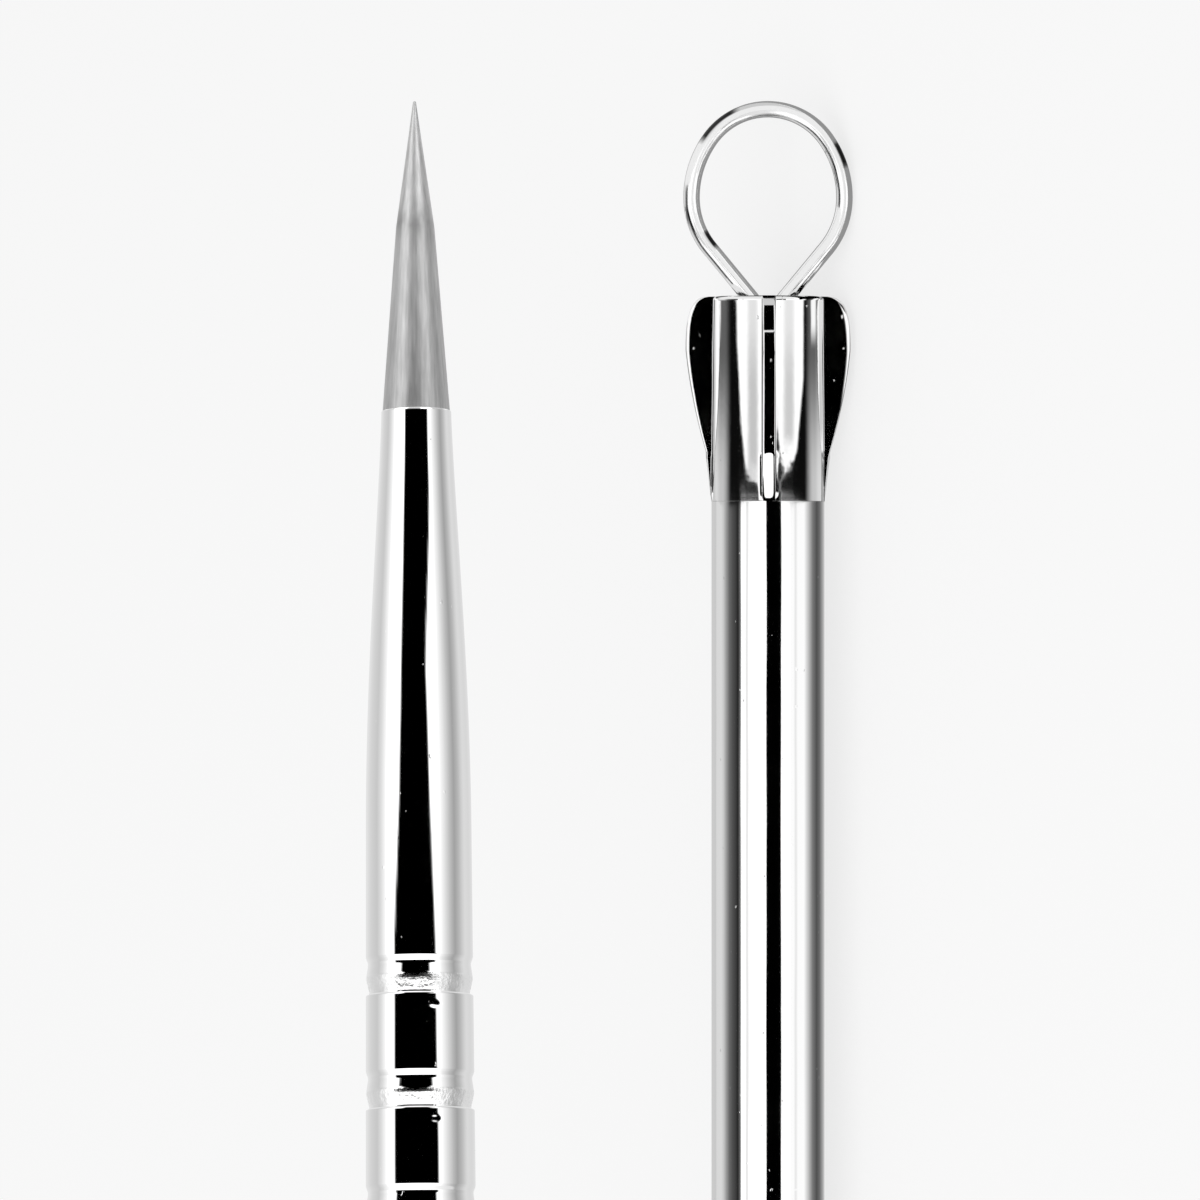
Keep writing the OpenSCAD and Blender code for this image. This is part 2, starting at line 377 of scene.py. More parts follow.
# Finned ferrule
# A short thick sleeve, crimped from four sides so that its wall folds out into four fins.
# Its tail is pressed into the rear tube, and its body is polished with the handle.
head_l = 8.7
fin_r = 3.5
sleeve_r = 2.29
sleeve_power = 2.35
fin_root = 0.05
fin_half = 0.275
crown_r = 2.35
crown_l = 2.3
crown_power = 3.0
fin_peak = head_l - crown_l
knee_h = 2.15
foot_lean = 0.0886
foot_curve = 0.0139
flank_bulge = 0.5
top_round = 0.14
tip_round = 0.05
facet_low = 0.05
facet_h = 2.1
facet_half = 0.34
facet_fade = 8
facet_slant = math.tan(math.radians(9))
bore_r = 1.5
bore_edge = ((0.0, 0.08), (0.02, 0.02), (0.08, 0.0))
bore_past = 0.3
tail_r = 2.09
tail_l = 6.0
core_sink = 0.7
dimple_gap = 0.15
dimple_low = 0.2
dimple_rise = 0.6


def fin_reach(h):
    """Radius of a fin's outer edge at height h over the rear tube."""
    if h <= knee_h:
        return handle_r + (foot_lean + foot_curve * h) * h
    knee_r = handle_r + (foot_lean + foot_curve * knee_h) * knee_h
    if h < fin_peak:
        part = (h - knee_h) / (fin_peak - knee_h)
        return knee_r + (fin_r - knee_r) * (part + flank_bulge * part * (1 - part))
    part = min(1.0, (h - fin_peak) / crown_l)
    return crown_r + (fin_r - crown_r) * (1 - part ** crown_power) ** (1 / crown_power)


def sleeve_place(turn, h):
    """The sleeve's surface at height h, turn radians away from a fin, as (across, out)."""
    flat = sleeve_r / (math.sin(turn) ** sleeve_power + math.cos(turn) ** sleeve_power) ** (1 / sleeve_power)
    radius = handle_r + (flat - handle_r) * h / head_l
    rest = head_l - h
    if rest < top_round:
        radius -= top_round * (1 - math.sqrt(max(0.0, 1 - ((top_round - rest) / top_round) ** 2)))
    return radius * math.sin(turn), radius * math.cos(turn)


def sleeve_normal(turn, h):
    """Direction out of the sleeve's surface at that place."""
    turn = min(max(turn, 0.001), math.pi / 2 - 0.001)
    ax, ay = sleeve_place(turn - 0.001, h)
    bx, by = sleeve_place(turn + 0.001, h)
    length = math.hypot(bx - ax, by - ay)
    return (ay - by) / length, (bx - ax) / length


def fin_half_path(h):
    """The path from a fin's middle to the sleeve beside it, and the turn at which it meets the sleeve."""
    reach = fin_reach(h)
    rise = max(reach - sleeve_place(0, h)[1], 0.002)
    root = min(fin_root, 0.7 * rise)
    tip = min(tip_round, 0.2 * rise)
    low, high = 0.0, math.pi / 4
    for _ in range(30):
        turn = (low + high) / 2
        x, y = sleeve_place(turn, h)
        out_x, out_y = sleeve_normal(turn, h)
        if x + root * out_x < fin_half + root:
            low = turn
        else:
            high = turn
    root_y = y + root * out_y
    path = [((fin_half - tip) * i / 4, reach) for i in range(4)]
    for i in range(6):
        a = math.pi / 2 * (1 - i / 5)
        path.append((fin_half - tip + tip * math.cos(a), reach - tip + tip * math.sin(a)))
    path += [(fin_half, reach - tip + (root_y - reach + tip) * i / 6) for i in range(1, 6)]
    last = math.atan2(-out_y, -out_x) % math.tau
    for i in range(11):
        a = math.pi + (last - math.pi) * i / 10
        path.append((fin_half + root + root * math.cos(a), root_y + root * math.sin(a)))
    return path, turn


def ferrule_ring(h):
    """The ferrule's whole outline at height h, once round."""
    fin, first = fin_half_path(h)
    last = math.pi / 2 - first
    middle = [sleeve_place(first + (last - first) * i / 40, h) for i in range(1, 40)]
    quarter = fin + middle + [(y, x) for x, y in reversed(fin)]
    ring = [(x, -y) for x, y in quarter[:-1]]
    ring += [(x, y) for x, y in reversed(quarter[1:])]
    ring += [(-x, y) for x, y in quarter[:-1]]
    ring += [(-x, -y) for x, y in reversed(quarter[1:])]
    return ring


foot_end = 0.03
heights = [0.0, 0.01, 0.02, foot_end]
heights += [foot_end + (knee_h - foot_end) * i / 28 for i in range(1, 29)]
heights += [knee_h + (fin_peak - knee_h) * i / 34 for i in range(1, 35)]
heights += [fin_peak + crown_l * math.sin(math.pi / 2 * i / 26) for i in range(1, 27)]
foot_break = 0.02
points = []
rings = []
for h in heights:
    outline = ferrule_ring(h)
    shrink = 1 if h > 0 else 1 - foot_break / handle_r
    rings.append([len(points) + k for k in range(len(outline))])
    points += [lay(x * shrink, y * shrink, foot_z + h) for x, y in outline]
count = len(rings[0])
directions = [math.atan2(y, x) for x, y in ferrule_ring(fin_peak)]
bore_mouth = [(bore_r + wider, head_l - down) for down, wider in bore_edge]
bore_mouth.append((bore_r, head_l - core_sink - bore_past))
for radius, h in bore_mouth:
    rings.append([len(points) + k for k in range(count)])
    points += [lay(radius * math.cos(turn), radius * math.sin(turn), foot_z + h) for turn in directions]
tail_rings = []
for radius, h in [(tail_r, 0.0), (tail_r, -tail_l)]:
    tail_rings.append([len(points) + k for k in range(count)])
    points += [lay(radius * math.cos(turn), radius * math.sin(turn), foot_z + h) for turn in directions]
faces = []
for low, high in list(zip(rings, rings[1:])) + [(tail_rings[0], rings[0]), (tail_rings[1], tail_rings[0])]:
    for k in range(count):
        after = (k + 1) % count
        faces.append((low[k], low[after], high[after], high[k]))
faces.append(tuple(reversed(tail_rings[1])))
faces.append(tuple(rings[-1]))
ferrule = steel_piece("finned_ferrule", points, faces, 40)

# The crimping jaw leaves the sleeve between the fins a little uneven, and each fin's foot is ground aslant.
sleeve = ferrule.data.attributes.new("sleeve", "FLOAT", "POINT")
for index, vertex in enumerate(ferrule.data.vertices):
    x_up, y_up, height = upright(vertex.co)
    h = height - foot_z
    off_fin = min(1.0, max(0.0, (min(abs(x_up), abs(y_up)) - fin_half) / dimple_gap))
    off_foot = min(1.0, max(0.0, (h - dimple_low) / dimple_rise))
    sleeve.data[index].value = off_fin * off_foot
    radius = math.hypot(x_up, y_up)
    if not facet_low < h < facet_h or radius < tail_r:
        continue
    side = round(math.atan2(y_up, x_up) / (math.pi / 2))
    across = radius * math.sin(math.atan2(y_up, x_up) - side * math.pi / 2)
    if abs(across) >= facet_half:
        continue
    part = (h - facet_low) / (facet_h - facet_low)
    fade = min(1.0, part * facet_fade, (1 - part) * facet_fade) * (1 - (across / facet_half) ** 4)
    keep = 1 + facet_slant * across * fade / radius
    vertex.co = lay(x_up * keep, y_up * keep, foot_z + h)
crimped = polished.copy()
crimped.name = "crimped_steel"
nodes = crimped.node_tree.nodes
links = crimped.node_tree.links
metal = nodes["Principled BSDF"]
place = nodes["Texture Coordinate"]
dimples = grain(nodes, links, place, (1000, 1700), 2.0)
below = metal.inputs["Normal"].links[0].from_node
sleeve_mask = nodes.new("ShaderNodeAttribute")
sleeve_mask.attribute_name = "sleeve"
dimple_height = nodes.new("ShaderNodeMath")
dimple_height.operation = "MULTIPLY"
links.new(dimples.outputs["Fac"], dimple_height.inputs[0])
links.new(sleeve_mask.outputs["Fac"], dimple_height.inputs[1])
dimple_bump = raised(nodes, links, dimple_height.outputs["Value"], 0.000004, below)
links.new(dimple_bump.outputs["Normal"], metal.inputs["Normal"])
ferrule.data.materials.append(crimped)
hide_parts("loop_ferrule")
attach(ferrule, "root")

# Loop core
# A turned steel slug inside the ferrule, drilled with two holes for the wire's legs.
# Only its dull top shows, sunk a little below the ferrule's mouth.
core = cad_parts["loop_core"]
core.data.materials.clear()
core.data.materials.append(ground)

# Wire loop
# Hard round steel wire, bent to a pear shape over a former, with both legs pressed into the core.
# It is polished, with faint flats, and has dark reflections painted on in spots.
wire_r = 0.35
loop_half = 3.25
side_r = 4.3
side_angle = math.radians(35)
low_r = 3.4
leg_angle = math.radians(39.5)
leg_x = 0.5
bend_r = 1.0
leg_l = 7.0
wire_sides = 32
core_z = foot_z + head_l - core_sink
top_r = side_r - (side_r - loop_half) / math.cos(side_angle)
leg_top_x = loop_half - low_r * (1 - math.cos(leg_angle))
leg_low_x = leg_x + bend_r * (1 - math.cos(leg_angle))
leg_low_z = core_z + bend_r * math.sin(leg_angle)
leg_top_z = leg_low_z + (leg_top_x - leg_low_x) / math.tan(leg_angle)
wide_z = leg_top_z + low_r * math.sin(leg_angle)
arch_z = wide_z + (side_r - top_r) * math.sin(side_angle)


def wire_arc(x, z, r, start, stop, steps):
    """Places (x, z, heading) along an arc of the wire, in the plane of the loop."""
    way = 1 if stop > start else -1
    places = []
    for i in range(steps + 1):
        a = start + (stop - start) * i / steps
        places.append((x + r * math.cos(a), z + r * math.sin(a), a + way * math.pi / 2))
    return places


half_wire = [(leg_x, core_z - leg_l, math.pi / 2), (leg_x, core_z - 1, math.pi / 2)]
half_wire += wire_arc(leg_x + bend_r, core_z, bend_r, math.pi, math.pi - leg_angle, 12)
for i in range(1, 12):
    part = i / 12
    x = leg_low_x + (leg_top_x - leg_low_x) * part
    z = leg_low_z + (leg_top_z - leg_low_z) * part
    half_wire.append((x, z, math.pi / 2 - leg_angle))
half_wire += wire_arc(loop_half - low_r, wide_z, low_r, -leg_angle, 0, 20)
half_wire += wire_arc(loop_half - side_r, wide_z, side_r, 0, side_angle, 20)[1:]
half_wire += wire_arc(0, arch_z, top_r, side_angle, math.pi / 2, 26)[1:]
wire_line = half_wire + [(-x, z, math.tau - heading) for x, z, heading in reversed(half_wire[:-1])]
points = []
for x, z, heading in wire_line:
    for k in range(wire_sides):
        a = math.tau * k / wire_sides
        out = wire_r * math.cos(a)
        points.append(lay(x + out * math.sin(heading), wire_r * math.sin(a), z - out * math.cos(heading)))
faces = []
for i in range(len(wire_line) - 1):
    for k in range(wire_sides):
        a = i * wire_sides + k
        b = i * wire_sides + (k + 1) % wire_sides
        faces.append((a, b, b + wire_sides, a + wire_sides))
faces.append(tuple(reversed(range(wire_sides))))
faces.append(tuple(range(len(points) - wire_sides, len(points))))
wire = steel_piece("pear_wire_loop", points, faces, 60)

# Dark reflections painted on the wire as near-black colour, on its side towards the camera: (across, up from
# the loop's middle, length, side of the wire).
painted_dark_reflections = (
    (2.72, 1.66, 0.62, 20),
    (-2.72, -1.95, 0.5, 25),
    (-1.7, 2.62, 1.1, 150),
    (0.72, -4.6, 0.3, -60),
    (-0.75, -4.6, 0.35, -120),
)
mark_edge = 0.35
mark = wire.data.attributes.new("painted_reflection_spot", "FLOAT", "POINT")
for index, vertex in enumerate(wire.data.vertices):
    x, z, heading = wire_line[index // wire_sides]
    around = math.tau * (index % wire_sides) / wire_sides
    out_x = math.cos(around) * math.sin(heading)
    out_z = -math.cos(around) * math.cos(heading)
    painted_darkness = 0.0
    for mark_x, mark_z, length, facing in painted_dark_reflections:
        away = math.hypot(x - mark_x, z - wide_z - mark_z) / length
        face = math.radians(facing)
        toward_mark = out_x * math.cos(face) + out_z * math.sin(face)
        toward_view = -math.sin(around)
        # Only the half of the wire that faces the camera gets the painted reflections.
        if away < 1 and toward_mark > mark_edge and toward_view > 0:
            painted_darkness = max(painted_darkness, min(1.0, (1 - away) * 4) * min(1.0, (toward_mark - mark_edge) * 8))
    mark.data[index].value = painted_darkness
wire_steel = polished.copy()
wire_steel.name = "wire_steel"
nodes = wire_steel.node_tree.nodes
links = wire_steel.node_tree.links
metal = nodes["Principled BSDF"]
place = nodes["Texture Coordinate"]
flats = grain(nodes, links, place, (700, 700), 2.0)
below = metal.inputs["Normal"].links[0].from_node
flat_bump = raised(nodes, links, flats.outputs["Fac"], 0.00003, below)
links.new(flat_bump.outputs["Normal"], metal.inputs["Normal"])
reflection_spot_mask = nodes.new("ShaderNodeAttribute")
reflection_spot_mask.attribute_name = "painted_reflection_spot"
# The wire's colour goes near black where the dark reflections are painted.
wire_tone = nodes.new("ShaderNodeMix")
wire_tone.data_type = "RGBA"
wire_tone.inputs["A"].default_value = (0.93, 0.93, 0.93, 1)
wire_tone.inputs["B"].default_value = (0.03, 0.03, 0.03, 1)
links.new(reflection_spot_mask.outputs["Fac"], wire_tone.inputs["Factor"])
links.new(wire_tone.outputs["Result"], metal.inputs["Base Color"])
wire_gloss = spread(nodes, links, flats.outputs["Fac"], 0.08, 0.2)
links.new(wire_gloss.outputs["Result"], metal.inputs["Roughness"])
wire.data.materials.append(wire_steel)
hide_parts("wire_loop")
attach(wire, "root")

# Camera
# It looks straight down on the loop's plane, with the tool upright in the picture.
# The picture is 51 mm wide at the tool, and the tool's axis stands to the right of its middle.
picture_px = 1200
picture_w = 0.051
px = picture_w / picture_px
loop_top_px = 101
axis_px = 768
camera_away = 0.5
to_camera = Vector((0, -lean, lean))
image_right = Vector((0, -lean, -lean))
image_up = Vector((1, 0, 0))
loop_top_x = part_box("wire_loop")[1][0]
aim = Vector((loop_top_x - (picture_px / 2 - loop_top_px) * px, 0, axis_z))
aim -= image_right * (axis_px - picture_px / 2) * px
camera_data = bpy.data.cameras.new("camera")
camera_data.sensor_width = 36
camera_data.lens = camera_data.sensor_width * camera_away / picture_w
camera_data.clip_start = 0.01
camera_data.clip_end = 20
camera = bpy.data.objects.new("camera", camera_data)
bpy.context.collection.objects.link(camera)
camera_turn = Matrix((image_right, image_up, to_camera)).transposed()
camera.matrix_world = Matrix.Translation(aim + to_camera * camera_away) @ camera_turn.to_4x4()
bpy.context.scene.camera = camera

# Floor
# A wide pale table top that keeps a light shadow under the tool.
# The camera, the polish and all else each see it in a tone of its own, as in a lit studio.
floor_half = 6.0
floor_mesh = bpy.data.meshes.new("floor")
corners = [(-floor_half, -floor_half, 0), (floor_half, -floor_half, 0)]
corners += [(floor_half, floor_half, 0), (-floor_half, floor_half, 0)]
floor_mesh.from_pydata(corners, [], [(0, 1, 2, 3)])
floor = bpy.data.objects.new("floor", floor_mesh)
bpy.context.collection.objects.link(floor)
floor_paint = bpy.data.materials.new("floor_paint")
floor_paint.use_nodes = True
nodes = floor_paint.node_tree.nodes
links = floor_paint.node_tree.links
nodes.clear()
matt = nodes.new("ShaderNodeBsdfDiffuse")
matt.inputs["Color"].default_value = (0.9, 0.9, 0.9, 1)
even = nodes.new("ShaderNodeEmission")
even.inputs["Color"].default_value = (0.975, 0.975, 0.975, 1)
bright = nodes.new("ShaderNodeEmission")
bright.inputs["Color"].default_value = (0.62, 0.62, 0.62, 1)
blend = nodes.new("ShaderNodeMixShader")
blend.inputs["Fac"].default_value = 0.7
links.new(matt.outputs["BSDF"], blend.inputs[1])
links.new(even.outputs["Emission"], blend.inputs[2])
ray = nodes.new("ShaderNodeLightPath")
seen = nodes.new("ShaderNodeMixShader")
links.new(ray.outputs["Is Camera Ray"], seen.inputs["Fac"])
links.new(matt.outputs["BSDF"], seen.inputs[1])
links.new(blend.outputs["Shader"], seen.inputs[2])
mirrored = nodes.new("ShaderNodeMixShader")
links.new(ray.outputs["Is Glossy Ray"], mirrored.inputs["Fac"])
links.new(seen.outputs["Shader"], mirrored.inputs[1])
links.new(bright.outputs["Emission"], mirrored.inputs[2])
floor_out = nodes.new("ShaderNodeOutputMaterial")
links.new(mirrored.outputs["Shader"], floor_out.inputs["Surface"])
floor_mesh.materials.append(floor_paint)

# Studio
# Two long soft boxes, one overhead and one in front, leave a dark gap at the camera between them.
# Cards behind, on the floor and beyond the loop carry the other stripes that the polish shows.
box_height = 0.45
box_end = loop_top_x + 0.06
box_len = 0.90
box_middle = box_end - box_len / 2
top_front = -0.385
top_back = 0.10
front_y = -0.45
front_top = 0.157
box_level = 1.2
card_lift = 0.0001
# The boxes light everything but the ferrule, which sees cards of the same shape and tone instead.
but_ferrule = bpy.data.collections.new("all_but_ferrule")
but_ferrule.objects.link(ferrule)
but_ferrule.collection_objects[0].light_linking.link_state = "EXCLUDE"
ferrule_only = bpy.data.collections.new("ferrule_only")
ferrule_only.objects.link(ferrule)
wire_only = bpy.data.collections.new("wire_only")
wire_only.objects.link(wire)


def soft_box(name, middle, turn, size, level):
    """A rectangular lamp whose face has the given brightness."""
    lamp_data = bpy.data.lights.new(name, "AREA")
    lamp_data.shape = "RECTANGLE"
    lamp_data.size = size[0]
    lamp_data.size_y = size[1]
    lamp_data.energy = level * math.pi * size[0] * size[1]
    lamp = bpy.data.objects.new(name, lamp_data)
    lamp.location = middle
    lamp.rotation_euler = turn
    lamp.visible_camera = False
    lamp.light_linking.receiver_collection = but_ferrule
    bpy.context.collection.objects.link(lamp)


soft_box("top_box", (box_middle, (top_front + top_back) / 2, box_height), (0, 0, 0),
         (box_len, top_back - top_front), box_level)
soft_box("front_box", (box_middle, front_y, front_top / 2), (math.pi / 2, 0, 0),
         (box_len, front_top), box_level)

card_paint = bpy.data.materials.new("card_paint")
card_paint.use_nodes = True
card_paint.cycles.emission_sampling = "NONE"
nodes = card_paint.node_tree.nodes
links = card_paint.node_tree.links
nodes.clear()
card_tone = nodes.new("ShaderNodeAttribute")
card_tone.attribute_name = "tone"
glow = nodes.new("ShaderNodeEmission")
links.new(card_tone.outputs["Fac"], glow.inputs["Strength"])
card_out = nodes.new("ShaderNodeOutputMaterial")
links.new(glow.outputs["Emission"], card_out.inputs["Surface"])


def card(name, points, faces, tones, paint=card_paint):
    """A card that only polished metal sees, with a tone at each of its points."""
    card_mesh = bpy.data.meshes.new(name)
    card_mesh.from_pydata(points, [], faces)
    card_mesh.attributes.new("tone", "FLOAT", "POINT").data.foreach_set("value", tones)
    card_piece = bpy.data.objects.new(name, card_mesh)
    bpy.context.collection.objects.link(card_piece)
    card_piece.visible_camera = False
    card_piece.visible_diffuse = False
    card_piece.visible_transmission = False
    # Only the tent, which has a paint of its own, keeps the boxes' light out.
    card_piece.visible_shadow = paint != card_paint
    card_mesh.materials.append(paint)
    return card_piece


def strip(name, rows, start, stop):
    """A card along the tool from start to stop; rows are (y, z, tone)."""
    points = []
    tones = []
    for y, z, tone in rows:
        points += [(start, y, z), (stop, y, z)]
        tones += [tone, tone]
    faces = [(2 * i, 2 * i + 1, 2 * i + 3, 2 * i + 2) for i in range(len(rows) - 1)]
    return card(name, points, faces, tones)


def aimed(beta, away, tone):
    """A row of a strip, beta degrees round the tool from the camera towards image right."""
    rise = math.radians(45 - beta)
    return -away * math.cos(rise), axis_z + away * math.sin(rise), tone


def on_floor(beta, tone):
    """A row of a strip that lies on the floor, seen beta degrees round the tool."""
    return -(axis_z - card_lift) / math.tan(math.radians(beta - 45)), card_lift, tone


card_start = box_middle - box_len / 2
flag_away = 0.40
gap_tone = 0.8
# Only the wire sees the card in the gap lit. To all else it is the dark gap itself.
camera_card = strip("camera_card", [
    (top_front, box_height, gap_tone),
    (front_y, front_top, gap_tone),
], card_start, box_end)
camera_card.light_linking.receiver_collection = wire_only
strip("back_flag", [aimed(beta, flag_away, tone) for beta, tone in (
    (-58.5, 0.30), (-61, 0.10), (-65, 0.018), (-70, 0.05), (-78, 0.085),
    (-87, 0.15), (-95, 0.33), (-104, 0.62), (-112, 0.74), (-133, 0.72),
)], card_start, box_end)
strip("top_seam", [aimed(beta, flag_away, tone) for beta, tone in (
    (-47, 1.0), (-44, 0.82), (-41, 1.0),
)], card_start, box_end)

# A pale half ring stands beyond the loop.
end_inner = 0.05
end_outer = 0.56
end_steps = 24
end_tone = 0.9
end_points = []
for i in range(end_steps + 1):
    a = math.pi * i / end_steps
    for radius in (end_inner, end_outer):
        end_points.append((box_end, -radius * math.cos(a), radius * math.sin(a) + 0.001))
end_faces = [(2 * i, 2 * i + 1, 2 * i + 3, 2 * i + 2) for i in range(end_steps)]
card("end_flag", end_points, end_faces, [end_tone] * len(end_points))

# The ferrule sees these two cards where the boxes stand.
behind_box = 0.005
for name, rows in (
    ("ferrule_top", [
        (top_front, box_height + behind_box, box_level),
        (top_back, box_height + behind_box, box_level),
    ]),
    ("ferrule_front", [
        (front_y - behind_box, 0, box_level),
        (front_y - behind_box, front_top, box_level),
    ]),
):
    strip(name, rows, card_start, box_end).light_linking.receiver_collection = ferrule_only

# The floor beside the handle mirrors in stripes, and beside the loop it is bright.
loop_start = loop_top_x - 0.009
loop_lift = 0.00012
bright_end = -0.0064
bright_tone = 1.1
strip("floor_glow", [(front_y, card_lift, bright_tone)] + [on_floor(beta, tone) for beta, tone in (
    (51, 1.05), (54, 0.85), (57, 1.05), (66, 1.05), (72, 0.6), (79, 0.2),
    (86, 0.085), (92, 0.15), (99, 0.34), (107, 0.58), (120, 0.72), (140, 0.8),
)], card_start, loop_start)
strip("loop_floor", [
    (front_y, loop_lift, bright_tone),
    (bright_end, loop_lift, bright_tone),
], loop_start, box_end)

# Only the wire sees the next two cards lit.
# The first keeps the front fin's rounded top dark, and the second is a grey patch under the loop.
shade_away = 30.0
shade_half = 4.0
shade_low = 2.5
shade_high = 44.0
shade_tone = 0.9
shade_corners = [lay(x, -shade_away, foot_z + head_l + h) for x, h in (
    (-shade_half, shade_low), (shade_half, shade_low), (shade_half, shade_high), (-shade_half, shade_high),
)]
fin_shade = card("fin_shade", shade_corners, [(0, 1, 2, 3)], [shade_tone] * 4)
fin_shade.light_linking.receiver_collection = wire_only
patch_half = 0.014
patch_lift = 0.00015
patch_tone = 0.3
loop_shade = strip("loop_shade", [
    (-patch_half, patch_lift, patch_tone),
    (patch_half, patch_lift, patch_tone),
], loop_top_x - 0.008, loop_top_x + 0.014)
loop_shade.light_linking.receiver_collection = wire_only

# Ferrule screens
# Two curved screens stand beside the camera and lie on the floor beside the finned ferrule.
# Their white panels, grey edges and dark feet show in its sleeve, left and right of the front fin.
screen_away = 34.0
screen_floor = axis_z / MM * math.sqrt(2) - 0.4
screen_step = 1.0
screen_rows = [0.15 * i for i in range(-1, 61)]
px_mm = px / MM
foot_rise_px = 100
panel_tone = 1.15
groove_half = 5.5
left_groove = -15.5
right_groove = 20.5
left_line = 50
right_line = 45
# The white panels' edges: (height over the rear tube, picture pixels from the axis).
left_edges = (
    (0, -8), (0.25, -9), (0.68, -12), (1.0, -19), (1.3, -22.5),
    (2.17, -24.5), (3.45, -27.5), (5.15, -29), (6.85, -31.5), (8.7, -32),
)
right_starts = ((0, 13), (0.68, 11), (1.3, 17), (1.7, 13), (2.17, 11), (3.45, 8.5), (8.7, 7.5))
right_stops = (
    (0, 13), (0.68, 11), (1.3, 18), (1.7, 25),
    (2.17, 28.5), (3.45, 31), (5.15, 34.5), (8.7, 35),
)


def along_edge(edge, h):
    """Where a panel's edge lies at height h, in picture pixels from the axis."""
    for (low, a), (high, b) in zip(edge, edge[1:]):
        if h <= high:
            return a + (b - a) * max(0.0, h - low) / (high - low)
    return edge[-1][1]


def soft_step(value, start, stop):
    """Rises smoothly from 0 at start to 1 at stop."""
    part = min(1.0, max(0.0, (value - start) / (stop - start)))
    return part * part * (3 - 2 * part)


def side_tone(away, h):
    """Tone beside a white panel, away pixels from the axis: dark, then grey, and lighter at the foot."""
    low = soft_step(h, 6.5, 0.5)
    grey = 0.12 + 0.46 * low
    return 0.004 + grey * soft_step(away, 37, 44 + 2 * low) + 0.15 * soft_step(away, 47, 52)


def edge_line(away, h, line):
    """A white line near the sleeve's top, line pixels from the axis."""
    return 0.9 * soft_step(h, 6.4, 7.6) * soft_step(abs(away - line), 3.2, 1.6)


def left_tone(x, h):
    """Tone of the left screen for x pixels from the axis and height h."""
    edge = along_edge(left_edges, h)
    white = soft_step(x, edge - 1.2, edge + 1.2)
    groove = math.exp(-((x - left_groove) / groove_half) ** 4)
    groove *= (0.6 + 0.4 * soft_step(h, 8, 4.5)) * (0.4 + 0.6 * soft_step(h, 0.6, 2))
    beside = side_tone(-x, h) + edge_line(-x, h, left_line)
    return beside * (1 - white) + white * (panel_tone - 0.56 * groove)


def right_tone(x, h):
    """Tone of the right screen for x pixels from the axis and height h."""
    start = along_edge(right_starts, h)
    stop = along_edge(right_stops, h)
    white = soft_step(x, start - 1, start + 1) * soft_step(x, stop + 1.2, stop - 1.2)
    groove = math.exp(-((x - right_groove) / groove_half) ** 4)
    groove *= (0.6 + 0.4 * soft_step(h, 8, 4.5)) * soft_step(h, 1.8, 3)
    beside = side_tone(x + 1, h) + edge_line(x, h, right_line)
    return beside * (1 - white) + white * (panel_tone - 0.5 * groove)


def screen(name, start, stop, tone_at):
    """A curved card whose tones show in the sleeve between start and stop pixels from the axis."""
    columns = int((stop - start) / screen_step) + 1
    points = []
    tones = []
    for h in screen_rows:
        view_tilt = (h / px_mm + foot_rise_px) * px / camera_away
        up = max(h, 0.0)
        for column in range(columns):
            x = start + column * screen_step
            low, high = 0.0, math.pi / 2
            for _ in range(24):
                turn = (low + high) / 2
                if sleeve_place(turn, up)[0] < abs(x) * px_mm:
                    low = turn
                else:
                    high = turn
            side = 1 if x > 0 else -1
            across, out = sleeve_place(turn, min(up, head_l - top_round))
            lean_x, lean_y = sleeve_normal(turn, min(up, head_l - top_round))
            to_x = 2 * lean_x * lean_y
            to_y = lean_y * lean_y - lean_x * lean_x
            along = across * to_x + out * to_y
            run = math.sqrt(along * along + screen_away ** 2 - across * across - out * out) - along
            across, to_x = side * across, side * to_x
            if to_x > to_y:
                run = min(run, (screen_floor - across + out) / (to_x - to_y))
            slope = (handle_r - math.hypot(*sleeve_place(turn, head_l - top_round))) / head_l
            shift = run * math.tan(view_tilt + 2 * slope)
            below = min(h, 0.0) * run / screen_away
            points.append(lay(across + to_x * run, -(out + to_y * run), foot_z + up + below + shift))
            tones.append(tone_at(x, h))
    faces = []
    for row in range(len(screen_rows) - 1):
        for column in range(columns - 1):
            a = row * columns + column
            faces.append((a, a + 1, a + columns + 1, a + columns))
    card(name, points, faces, tones)


screen("left_screen", -53, -7, left_tone)
screen("right_screen", 7, 53, right_tone)

# Room
# A pale room round the table gives the metal its even greys.
# Where the camera looks past the floor, it sees a lighter backdrop.
backdrop_tone = 0.939
world = bpy.data.worlds.new("pale_room")
bpy.context.scene.world = world
world.use_nodes = True
nodes = world.node_tree.nodes
links = world.node_tree.links
nodes.clear()
room = nodes.new("ShaderNodeBackground")
room.inputs["Color"].default_value = (0.63, 0.63, 0.63, 1)
backdrop = nodes.new("ShaderNodeBackground")
backdrop.inputs["Color"].default_value = (backdrop_tone, backdrop_tone, backdrop_tone, 1)
ray = nodes.new("ShaderNodeLightPath")
pick = nodes.new("ShaderNodeMixShader")
links.new(ray.outputs["Is Camera Ray"], pick.inputs["Fac"])
links.new(room.outputs["Background"], pick.inputs[1])
links.new(backdrop.outputs["Background"], pick.inputs[2])
world_out = nodes.new("ShaderNodeOutputWorld")
links.new(pick.outputs["Shader"], world_out.inputs["Surface"])
bpy.context.scene.view_settings.view_transform = "Standard"

# Second shot
# The photograph sets a second shot of the same tool, needle end up, beside the first.
# It is a picture-only copy, turned end for end and held near the camera, where no other view meets it.
shot_px = 414.5
shot_tilt = math.radians(0.42)
shot_pitch = math.radians(6)
shot_near = 0.31
turn_over = Matrix.Rotation(math.pi, 4, to_camera)
tilt = Matrix.Rotation(-shot_pitch, 4, image_right) @ Matrix.Rotation(shot_tilt, 4, to_camera)
tip_place = Vector((tip_x, 0, axis_z))
tip_target = aim + image_up * (picture_px / 2 - loop_top_px) * px
tip_target += image_right * (shot_px - picture_px / 2) * px
